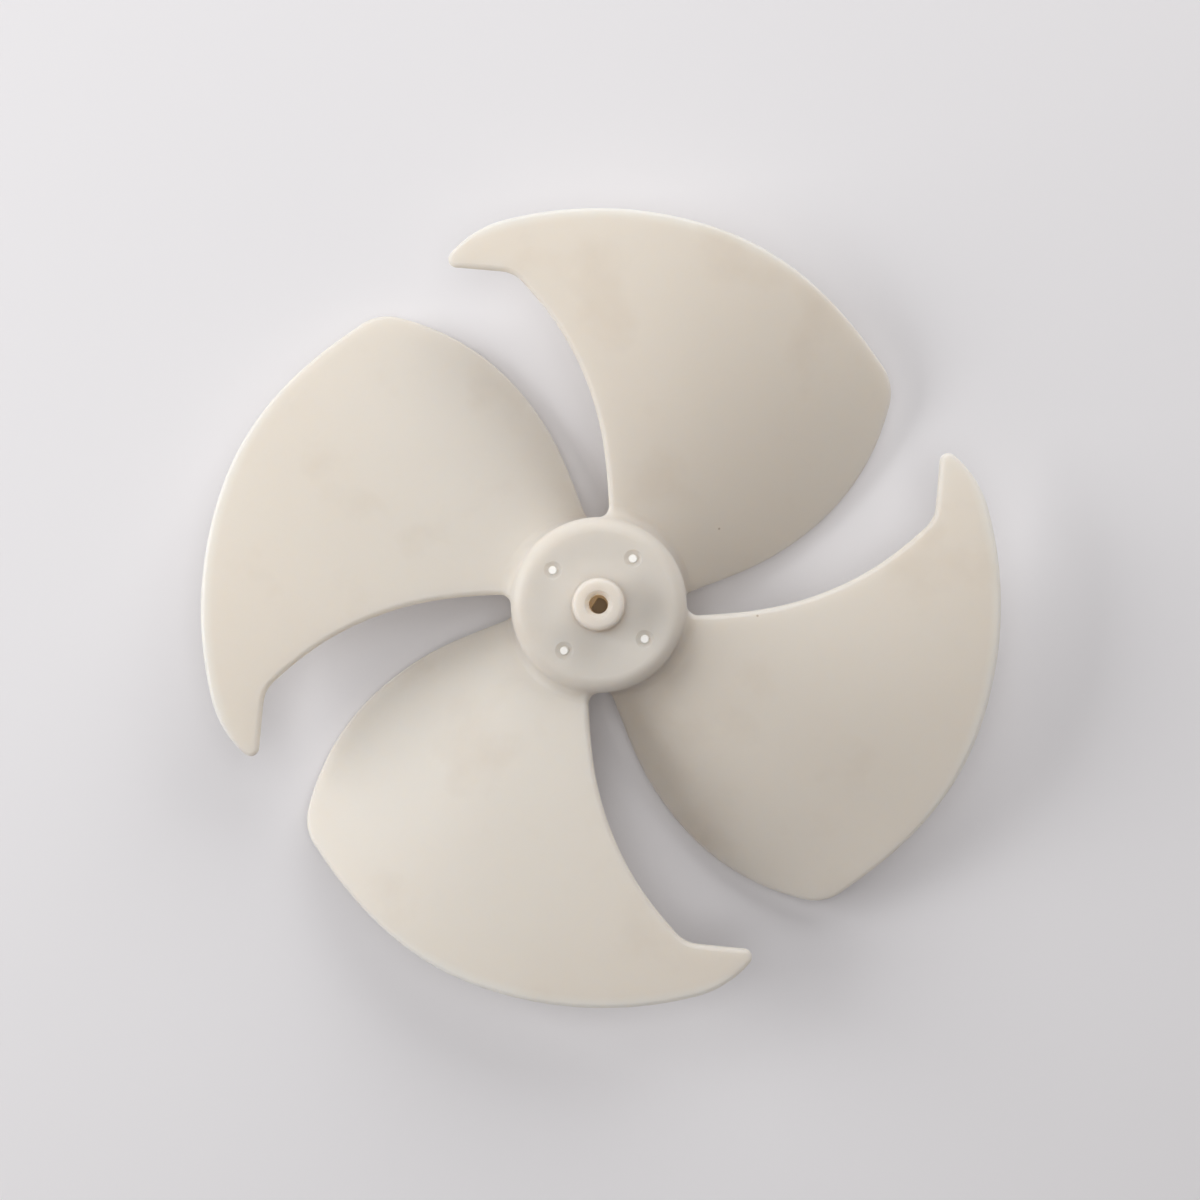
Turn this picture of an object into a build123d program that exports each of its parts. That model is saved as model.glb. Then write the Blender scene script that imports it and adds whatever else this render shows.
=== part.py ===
# Axial fan impeller, moulded in one piece: a hub cup with a bored boss and four swept blades.
# Millimetres, +Z up. The origin is on the shaft axis, in the plane of the hub's open rear rim.
import os
from math import cos, radians, sin, tan
from build123d import *

# Overall sizes
tip_diameter = 140.0
hub_diameter = 31.2
hub_height = 21.0
blade_count = 4

# Hub cup: walls, rounded rim and the ribs behind the face
hub_wall = 2.0
hub_face_thickness = 2.2
hub_draft = 0.5
rim_radius = 2.7
rear_edge_radius = 0.4
cavity_corner_radius = 1.2
rib_thickness = 1.2
rib_depth = 9.0

# Central boss: it stands proud of the face and reaches almost to the rear rim
boss_diameter = 9.0
boss_protrusion = 5.5
boss_rear_recess = 1.0
boss_edge_radius = 0.8
boss_foot_radius = 0.5

# Shaft bore: lead-in and easy round guide from the face, then a tighter D-shaped drive to the rear
bore_diameter = 3.3
lead_in_diameter = 4.8
drive_diameter = 2.95
drive_length = 11.0
drive_flat_distance = 0.98
drive_flat_angle = 147.0

# Gate marks on the face: a shallow dish around a sheared nub
gate_circle_radius = 10.0
gate_angle = 53.3
dish_diameter = 3.2
dish_depth = 0.35
nub_diameter = 1.5
nub_height = 0.4
nub_edge = 0.15

# Blade wall. Heights are those of the middle of the wall above the rear rim.
blade_thickness = 1.8
edge_radius = 0.8
root_radius = 2.0
root_overlap = 1.2
leading_root_below_face = 4.4
leading_bow = 3.2
trailing_root_height = 5.8
trailing_low_height = 1.5
bow_station = 0.6
chord_angle = 74.5
sweep_angle = 26.0
camber_root = 0.7
camber_tip = 1.5

# Grid of the sheet that the blade wall is cut from, and its margins past the blade, as shares
sheet_rows = 6
sheet_columns = 8
sheet_degree = 8
span_margin = 0.1
chord_margin = 0.2

# Blade outline from above. A station is a share of the span and an angle about the axis in degrees.
leading_root_angle = 82.2
leading_root_heading = 93.0
leading_stations = [(0.28, 89.4), (0.59, 97.4)]
crook_station = (0.825, 104.4)
crook_heading = 133.0
crook_radius = 6.0
horn_tip_station = (0.93, 115.0)
horn_tip_radius = 1.5
horn_start_angle = 104.0
tip_arc_end_angle = 72.0
corner_station = (0.949, 37.1)
corner_outer_heading = 307.0
corner_inner_heading = 261.0
corner_radius = 8.0
trailing_stations = [(0.578, 22.9), (0.27, 14.9)]
trailing_root_angle = 6.5
trailing_root_heading = 203.0

# Worked out from the sizes above
hub_radius = hub_diameter / 2
tip_radius = tip_diameter / 2
span = tip_radius - hub_radius
draft_run = hub_height * tan(radians(hub_draft))
cavity_radius = hub_radius - hub_wall
face_underside = hub_height - hub_face_thickness
boss_radius = boss_diameter / 2
boss_top = hub_height + boss_protrusion
leading_root_height = hub_height - leading_root_below_face
longest_upright = 1.5 * blade_thickness
height_match = 0.001


def polar(radius, angle):
    """Point at a radius and an angle in degrees about the shaft axis."""
    return radius * cos(radians(angle)), radius * sin(radians(angle))


def station(share, angle):
    """Point at a share of the blade's span, 0 at the hub's wall and 1 at the tip."""
    return polar(hub_radius + share * span, angle)


def wall_point(share, chord):
    """Middle of the blade wall, at a share of the span and of the chord behind the leading edge."""
    bow = share * (2 * bow_station - share) / bow_station**2
    leading_z = leading_root_height + leading_bow * bow
    trailing_z = trailing_root_height - (trailing_root_height - trailing_low_height) * bow
    camber = camber_root + (camber_tip - camber_root) * share
    fall = (1 - camber) * chord + camber * chord**2
    x, y = station(share, leading_root_angle + sweep_angle * share - chord_angle * chord)
    return Vector(x, y, leading_z - (leading_z - trailing_z) * fall)


def shares(count, margin):
    """Evenly spaced shares of a length, from a margin before it to a margin past it."""
    return [step / (count - 1) * (1 + 2 * margin) - margin for step in range(count)]


def circles_at(builder, height):
    """Full and part circles of a part that lie level at a height."""
    circles = builder.edges().filter_by(GeomType.CIRCLE)
    return circles.filter_by_position(Axis.Z, height - height_match, height + height_match)


# The blade's wall is cut from a twisted, cambered sheet that is larger than the blade all round
spanwise = shares(sheet_rows, span_margin)
chordwise = shares(sheet_columns, chord_margin)
sheet = Face.make_surface_from_array_of_points(
    [[wall_point(share, chord) for chord in chordwise] for share in spanwise],
    max_deg=sheet_degree,
)

with BuildPart() as blade:
    thicken(sheet, amount=blade_thickness / 2, both=True)
    with BuildSketch() as outline:
        with BuildLine():
            root_middle_angle = (leading_root_angle + trailing_root_angle) / 2
            tip_middle_angle = (horn_start_angle + tip_arc_end_angle) / 2
            leading_root, root_middle, trailing_root = (
                polar(hub_radius - root_overlap, angle)
                for angle in (leading_root_angle, root_middle_angle, trailing_root_angle)
            )
            horn_start, tip_middle, tip_arc_end = (
                polar(tip_radius, angle)
                for angle in (horn_start_angle, tip_middle_angle, tip_arc_end_angle)
            )
            crook = station(*crook_station)
            horn_tip = station(*horn_tip_station)
            corner = station(*corner_station)
            # Leading edge, up to the crook of the horn, and the horn's inner side
            Spline(
                leading_root,
                *(station(*point) for point in leading_stations),
                crook,
                tangents=[polar(1, leading_root_heading), polar(1, crook_heading)],
            )
            Line(crook, horn_tip)
            # Horn's outer side, tip circle and the easing to the trailing corner
            TangentArc(horn_start, horn_tip, tangent=polar(1, horn_start_angle + 90))
            ThreePointArc(horn_start, tip_middle, tip_arc_end)
            Spline(
                tip_arc_end,
                corner,
                tangents=[polar(1, tip_arc_end_angle - 90), polar(1, corner_outer_heading)],
            )
            # Trailing edge, back to the hub, and the root inside the hub's wall
            Spline(
                corner,
                *(station(*point) for point in trailing_stations),
                trailing_root,
                tangents=[polar(1, corner_inner_heading), polar(1, trailing_root_heading)],
            )
            ThreePointArc(trailing_root, root_middle, leading_root)
        make_face()
        for place, radius in (
            (crook, crook_radius),
            (horn_tip, horn_tip_radius),
            (corner, corner_radius),
        ):
            fillet(outline.vertices().sort_by_distance(place)[0], radius)
    extrude(amount=boss_top, mode=Mode.INTERSECT)
    # Every edge that goes round the outline is rounded, on both faces of the wall
    root_face = blade.faces().sort_by(SortBy.DISTANCE)[0]
    rim = [
        edge
        for edge in blade.edges()
        if edge.length > longest_upright and edge not in root_face.edges()
    ]
    fillet(rim, edge_radius)

with BuildPart() as impeller:
    # Hub as one turned block with drafted sides and a rounded rim
    with BuildSketch(Plane.XZ):
        with BuildLine():
            Polyline(
                (0, 0),
                (hub_radius, 0),
                (hub_radius - draft_run, hub_height),
                (0, hub_height),
                close=True,
            )
        make_face()
    revolve(axis=Axis.Z)
    fillet(circles_at(impeller, hub_height), rim_radius)
    fillet(circles_at(impeller, 0), rear_edge_radius)

    # Blades, blended into the hub's side
    with PolarLocations(0, blade_count):
        add(blade.part)
    fillet(impeller.edges(Select.NEW), root_radius)

    # Rear cavity, a ring around the boss, with drafted sides and a rounded inner corner
    with BuildSketch(Plane.XZ):
        with BuildLine():
            Polyline(
                (0, 0),
                (0, boss_rear_recess),
                (boss_radius, boss_rear_recess),
                (boss_radius, face_underside),
                (cavity_radius - draft_run, face_underside),
                (cavity_radius, 0),
                close=True,
            )
        make_face()
    revolve(axis=Axis.Z, mode=Mode.SUBTRACT)
    fillet(circles_at(impeller, face_underside), cavity_corner_radius)

    # Ribs behind the face, one behind each gate, from the boss to the hub's wall
    rib_start = (bore_diameter / 2 + boss_radius) / 2
    rib_end = hub_radius - hub_wall / 2 - draft_run
    with BuildSketch(Plane.XY.offset(face_underside)):
        with PolarLocations((rib_start + rib_end) / 2, blade_count, start_angle=gate_angle):
            Rectangle(rib_end - rib_start, rib_thickness)
    extrude(amount=-rib_depth)

    # Boss on the face, with a rounded end and foot
    with BuildSketch(Plane.XY.offset(face_underside)):
        Circle(boss_radius)
    extrude(amount=boss_top - face_underside)
    fillet(circles_at(impeller, boss_top), boss_edge_radius)
    fillet(circles_at(impeller, hub_height).sort_by(SortBy.RADIUS)[0], boss_foot_radius)

    # Shaft bore: round from the face side, D-shaped over the driving length
    with BuildSketch(Plane.XY.offset(drive_length)):
        Circle(bore_diameter / 2)
    extrude(amount=boss_top - drive_length, mode=Mode.SUBTRACT)
    bore_mouth = circles_at(impeller, boss_top).sort_by(SortBy.RADIUS)[0]
    chamfer(bore_mouth, (lead_in_diameter - bore_diameter) / 2)
    with BuildSketch():
        Circle(drive_diameter / 2)
        with Locations(polar(drive_flat_distance + drive_diameter / 2, drive_flat_angle)):
            Rectangle(drive_diameter, drive_diameter, rotation=drive_flat_angle, mode=Mode.SUBTRACT)
    extrude(amount=drive_length, mode=Mode.SUBTRACT)

    # Gate marks: dished hollows, each with its sheared nub
    dish_radius = dish_diameter / 2
    dish_ball_radius = (dish_radius**2 + dish_depth**2) / (2 * dish_depth)
    with Locations((0, 0, hub_height - dish_depth + dish_ball_radius)):
        with PolarLocations(gate_circle_radius, blade_count, start_angle=gate_angle):
            Sphere(dish_ball_radius, mode=Mode.SUBTRACT)
    with BuildSketch(Plane.XY.offset(hub_height - 2 * dish_depth)):
        with PolarLocations(gate_circle_radius, blade_count, start_angle=gate_angle):
            Circle(nub_diameter / 2)
    extrude(amount=dish_depth + nub_height)
    chamfer(circles_at(impeller, hub_height - dish_depth + nub_height), nub_edge)

impeller.part.label = "impeller"
os.makedirs("parts", exist_ok=True)
export_step(impeller.part, "parts/impeller.step")
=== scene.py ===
import math

import bmesh
import bpy
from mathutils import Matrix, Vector


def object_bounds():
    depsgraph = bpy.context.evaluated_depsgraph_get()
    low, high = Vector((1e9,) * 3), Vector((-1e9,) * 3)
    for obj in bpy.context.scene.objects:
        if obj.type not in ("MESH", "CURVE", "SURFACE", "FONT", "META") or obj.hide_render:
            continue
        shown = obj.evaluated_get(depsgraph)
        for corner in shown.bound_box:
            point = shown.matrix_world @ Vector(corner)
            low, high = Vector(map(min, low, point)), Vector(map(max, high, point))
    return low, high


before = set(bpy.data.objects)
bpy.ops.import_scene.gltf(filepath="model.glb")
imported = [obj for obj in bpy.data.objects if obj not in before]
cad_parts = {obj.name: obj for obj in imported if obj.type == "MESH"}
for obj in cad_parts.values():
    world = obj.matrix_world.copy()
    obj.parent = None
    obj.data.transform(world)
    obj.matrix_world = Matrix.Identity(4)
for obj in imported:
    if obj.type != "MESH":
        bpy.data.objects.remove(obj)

cad_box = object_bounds()


# The impeller moulding
# One injection moulding in natural polypropylene: hub cup, bored boss, four swept blades and the
# four pin-point gate marks that were sheared on the hub's face when the mould opened.
def srgb(code):
    """Linear colour from an sRGB hex value."""
    parts = [int(code[i:i + 2], 16) / 255 for i in (1, 3, 5)]
    return [v / 12.92 if v < 0.04045 else ((v + 0.055) / 1.055) ** 2.4 for v in parts] + [1.0]


def add(tree, kind, settings=(), links=()):
    """Add a node, set its attributes and sockets, and link outputs to its inputs."""
    node = tree.nodes.new(kind)
    for name, value in dict(settings).items():
        if isinstance(name, str) and hasattr(node, name):
            setattr(node, name, value)
        else:
            node.inputs[name].default_value = value
    for name, source in dict(links).items():
        tree.links.new(source, node.inputs[name])
    return node


# Natural polypropylene, moulded against finely spark-eroded steel: a milky cream with a soft satin
# gloss. Light goes a few millimetres in, and red goes furthest, so shadows and edges stay soft.
CREAM = "#E3DCD2"
CREAM_WARM = "#E0D7CC"
CLOUD_SIZE = 0.030
REFRACTIVE_INDEX = 1.49
SOAK_DEPTH = 0.005
SOAK_BY_COLOUR = (1.0, 0.9, 0.78)
# Socket numbers of the two colours that go into a Mix node and of the one that comes out
COLOUR_A = 6
COLOUR_B = 7
COLOUR_OUT = 2
plastic = bpy.data.materials.new("natural_polypropylene")
plastic.use_nodes = True
tree = plastic.node_tree
shader = tree.nodes["Principled BSDF"]
shader.inputs["IOR"].default_value = REFRACTIVE_INDEX
shader.inputs["Subsurface Radius"].default_value = SOAK_BY_COLOUR
shader.inputs["Subsurface Scale"].default_value = SOAK_DEPTH
place = add(tree, "ShaderNodeTexCoord").outputs["Object"]
cloud = add(tree, "ShaderNodeTexNoise", {"Scale": 1 / CLOUD_SIZE, "Detail": 2.0}, {"Vector": place})
cream = add(
    tree, "ShaderNodeMix",
    {"data_type": "RGBA", COLOUR_A: srgb(CREAM), COLOUR_B: srgb(CREAM_WARM)},
    {"Factor": cloud.outputs["Fac"]},
)

# Painted light: the rim at the tip circle is painted paler, in place of the light that comes
# through it from its edge.
TIP_RADIUS = (cad_box[1][0] - cad_box[0][0]) / 2
PAINTED_RIM_LIGHT = "#EAE8E0"
RIM_BAND = 0.0022
RIM_SHARE = 0.7
ACROSS_ONLY = (1, 1, 0)
from_above = add(
    tree, "ShaderNodeVectorMath", {"operation": "MULTIPLY", 1: ACROSS_ONLY},
    {0: place},
)
off_axis = add(
    tree, "ShaderNodeVectorMath", {"operation": "LENGTH"},
    {0: from_above.outputs["Vector"]},
)
rim_light_mask = add(
    tree, "ShaderNodeMapRange",
    {"From Min": TIP_RADIUS - RIM_BAND, "From Max": TIP_RADIUS, "To Max": RIM_SHARE},
    {"Value": off_axis.outputs["Value"]},
)
with_painted_rim_light = add(
    tree, "ShaderNodeMix", {"data_type": "RGBA", COLOUR_B: srgb(PAINTED_RIM_LIGHT)},
    {"Factor": rim_light_mask.outputs["Result"], COLOUR_A: cream.outputs[COLOUR_OUT]},
)

# Faint grey-brown smudges from handling, where a noise rises past a limit.
SMUDGE = "#C9BEB0"
SMUDGE_SIZE = 0.016
SMUDGE_FROM = 0.55
SMUDGE_FULL = 0.80
SMUDGE_SHARE = 0.34
grime = add(tree, "ShaderNodeTexNoise", {"Scale": 1 / SMUDGE_SIZE, "Detail": 4.0}, {"Vector": place})
smudged = add(
    tree, "ShaderNodeMapRange",
    {"From Min": SMUDGE_FROM, "From Max": SMUDGE_FULL, "To Max": SMUDGE_SHARE},
    {"Value": grime.outputs["Fac"]},
)
handled = add(
    tree, "ShaderNodeMix", {"data_type": "RGBA", COLOUR_B: srgb(SMUDGE)},
    {"Factor": smudged.outputs["Result"], COLOUR_A: with_painted_rim_light.outputs[COLOUR_OUT]},
)

# A few specks of burnt resin under the skin, each at the middle of a cell of a wide scatter.
SPECK = "#9C8A74"
SPECK_SPACING = 0.013
SPECK_RADIUS = 0.00028
SPECK_BLUR = 0.3
cells = add(tree, "ShaderNodeTexVoronoi", {"Scale": 1 / SPECK_SPACING}, {"Vector": place})
speck = add(
    tree, "ShaderNodeMapRange",
    {
        "From Min": (1 + SPECK_BLUR) * SPECK_RADIUS / SPECK_SPACING,
        "From Max": (1 - SPECK_BLUR) * SPECK_RADIUS / SPECK_SPACING,
    },
    {"Value": cells.outputs["Distance"]},
)
specked = add(
    tree, "ShaderNodeMix", {"data_type": "RGBA", COLOUR_B: srgb(SPECK)},
    {"Factor": speck.outputs["Result"], COLOUR_A: handled.outputs[COLOUR_OUT]},
)

# Where the gates' pins broke off on the hub's face, the plastic is stress-whitened and opaque. One
# gate is marked, and the other three by folding the four quarters of the face onto each other. The
# white fades out across the nub's edge, between two shares of its radius.
WHITENED = "#FFFDF8"
GATE_CIRCLE = 0.010
GATE_ANGLE = 53.3
QUARTER_MIDDLE = 45
NUB_RADIUS = 0.00074
NUB_OUTER_SHARE = 1.1
NUB_INNER_SHARE = 0.8
NUB_FOOT = 0.0200
gate_side = GATE_CIRCLE * math.cos(math.radians(QUARTER_MIDDLE))
turned = add(
    tree, "ShaderNodeMapping", {"Rotation": (0, 0, math.radians(QUARTER_MIDDLE - GATE_ANGLE))},
    {"Vector": from_above.outputs["Vector"]},
)
folded = add(
    tree, "ShaderNodeVectorMath", {"operation": "ABSOLUTE"},
    {0: turned.outputs["Vector"]},
)
to_gate = add(
    tree, "ShaderNodeVectorMath", {"operation": "DISTANCE", 1: (gate_side, gate_side, 0)},
    {0: folded.outputs["Vector"]},
)
near_gate = add(
    tree, "ShaderNodeMapRange",
    {"From Min": NUB_OUTER_SHARE * NUB_RADIUS, "From Max": NUB_INNER_SHARE * NUB_RADIUS},
    {"Value": to_gate.outputs["Value"]},
)
height = add(tree, "ShaderNodeSeparateXYZ", (), {"Vector": place})
on_face = add(
    tree, "ShaderNodeMath", {"operation": "GREATER_THAN", 1: NUB_FOOT},
    {0: height.outputs["Z"]},
)
on_nub = add(
    tree, "ShaderNodeMath", {"operation": "MULTIPLY"},
    {0: near_gate.outputs["Result"], 1: on_face.outputs["Value"]},
)
whitened = add(
    tree, "ShaderNodeMix", {"data_type": "RGBA", COLOUR_B: srgb(WHITENED)},
    {"Factor": on_nub.outputs["Value"], COLOUR_A: specked.outputs[COLOUR_OUT]},
)
milky = add(
    tree, "ShaderNodeMath", {"operation": "SUBTRACT", 0: 1.0},
    {1: on_nub.outputs["Value"]},
)
tree.links.new(whitened.outputs[COLOUR_OUT], shader.inputs["Base Color"])
tree.links.new(milky.outputs["Value"], shader.inputs["Subsurface Weight"])

# Satin skin with gloss that varies a little from place to place and is higher on the sheared nubs.
# The steel's grain is about 0.05 mm on the real part, and is drawn coarser so that it shows.
GRAIN_SIZE = 0.00035
GRAIN_DEPTH = 0.000012
GRAIN_STRENGTH = 0.35
GLOSS_PATCH = 0.020
SMOOTHEST = 0.42
ROUGHEST = 0.52
NUB_GLOSS = 0.22
grain = add(tree, "ShaderNodeTexNoise", {"Scale": 1 / GRAIN_SIZE, "Detail": 2.0}, {"Vector": place})
skin = add(
    tree, "ShaderNodeBump", {"Strength": GRAIN_STRENGTH, "Distance": GRAIN_DEPTH},
    {"Height": grain.outputs["Fac"]},
)
patches = add(tree, "ShaderNodeTexNoise", {"Scale": 1 / GLOSS_PATCH, "Detail": 3.0}, {"Vector": place})
satin = add(
    tree, "ShaderNodeMapRange", {"To Min": SMOOTHEST, "To Max": ROUGHEST},
    {"Value": patches.outputs["Fac"]},
)
polish = add(
    tree, "ShaderNodeMath", {"operation": "MULTIPLY_ADD", 1: -NUB_GLOSS},
    {0: on_nub.outputs["Value"], 2: satin.outputs["Result"]},
)
tree.links.new(skin.outputs["Normal"], shader.inputs["Normal"])
tree.links.new(polish.outputs["Value"], shader.inputs["Roughness"])

# A faint brown glow is painted down in the boss's bore as emission, in place of the light that
# soaks through the boss's wall. It is whole on the bore's wall and fades out just past it, in the
# lead-in.
PAINTED_BORE_GLOW = "#DDB98A"
GLOW_STRENGTH = 0.10
BORE_RADIUS = 0.00165
GLOW_WHOLE_TO = 0.00006
GLOW_GONE_AT = 0.00012
painted_glow_in_bore = add(
    tree, "ShaderNodeMapRange",
    {
        "From Min": BORE_RADIUS + GLOW_GONE_AT,
        "From Max": BORE_RADIUS + GLOW_WHOLE_TO,
        "To Max": GLOW_STRENGTH,
    },
    {"Value": off_axis.outputs["Value"]},
)
tree.links.new(painted_glow_in_bore.outputs["Result"], shader.inputs["Emission Strength"])
shader.inputs["Emission Color"].default_value = srgb(PAINTED_BORE_GLOW)

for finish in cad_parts["impeller"].material_slots:
    finish.material = plastic


# Floor
# A plain pale matt sheet that the impeller lies on. It is so wide that its edge is out of the
# picture from above and far off in low views.
FLOOR_WIDTH = 6.0
FLOOR_WHITE = "#EDECEE"
FLOOR_ROUGHNESS = 0.8
floor_mesh = bpy.data.meshes.new("floor")
sheet = bmesh.new()
bmesh.ops.create_grid(sheet, x_segments=1, y_segments=1, size=FLOOR_WIDTH / 2)
sheet.to_mesh(floor_mesh)
sheet.free()
floor = bpy.data.objects.new("floor", floor_mesh)
bpy.context.scene.collection.objects.link(floor)
paper = bpy.data.materials.new("matt_white_paper")
paper.use_nodes = True
matt = paper.node_tree.nodes["Principled BSDF"]
matt.inputs["Base Color"].default_value = srgb(FLOOR_WHITE)
matt.inputs["Roughness"].default_value = FLOOR_ROUGHNESS
floor_mesh.materials.append(paper)


# Lights
# Two low, wide soft boxes, to the left and beyond the top of the picture, a third one overhead and
# a pale, slightly warm surround, so that the shadows are faint and soft.
LIGHT_DISTANCE = 0.80
SURROUND_TINT = "#FAEDEC"
SURROUND_STRENGTH = 0.12


def softbox(name, azimuth, elevation, width, watts):
    """Square white area light aimed at the hub from an azimuth and an elevation in degrees."""
    light = bpy.data.lights.new(name, "AREA")
    light.shape = "SQUARE"
    light.size = width
    light.energy = watts
    lamp = bpy.data.objects.new(name, light)
    bpy.context.scene.collection.objects.link(lamp)
    a = math.radians(azimuth)
    e = math.radians(elevation)
    side = Vector((math.cos(a) * math.cos(e), math.sin(a) * math.cos(e), math.sin(e)))
    lamp.location = side * LIGHT_DISTANCE
    lamp.rotation_euler = (-lamp.location).to_track_quat("-Z", "Y").to_euler()


softbox("softbox_left", azimuth=172, elevation=28, width=0.50, watts=3.9)
softbox("softbox_top", azimuth=72, elevation=29, width=0.70, watts=3.7)
softbox("softbox_overhead", azimuth=0, elevation=90, width=0.50, watts=1.8)
surround = bpy.data.worlds.new("surround")
surround.use_nodes = True
backdrop = surround.node_tree.nodes["Background"]
backdrop.inputs["Color"].default_value = srgb(SURROUND_TINT)
backdrop.inputs["Strength"].default_value = SURROUND_STRENGTH
bpy.context.scene.world = surround
bpy.context.scene.view_settings.view_transform = "Standard"


# Camera
# Above the hub and looking almost straight down, as in the photograph, 365 mm up. The shift is
# only what the photograph's framing needs.
CAMERA_HEIGHT = 0.365
CAMERA_ASIDE = (0.00166, -0.00462)
CAMERA_TURN = (0.0401, 0.0284, 0.0019)
PICTURE_SHIFT = 0.04
PICTURE_SIZE = 1200
FOCAL_PIXELS = 1975.0
SENSOR = 36.0
NEAREST_SEEN = 0.01
camera_data = bpy.data.cameras.new("camera")
camera_data.sensor_width = SENSOR
camera_data.lens = SENSOR * FOCAL_PIXELS / PICTURE_SIZE
camera_data.shift_x = PICTURE_SHIFT
camera_data.shift_y = -PICTURE_SHIFT
camera_data.clip_start = NEAREST_SEEN
camera = bpy.data.objects.new("camera", camera_data)
camera.location = (*CAMERA_ASIDE, CAMERA_HEIGHT)
camera.rotation_euler = CAMERA_TURN
bpy.context.scene.collection.objects.link(camera)
bpy.context.scene.camera = camera
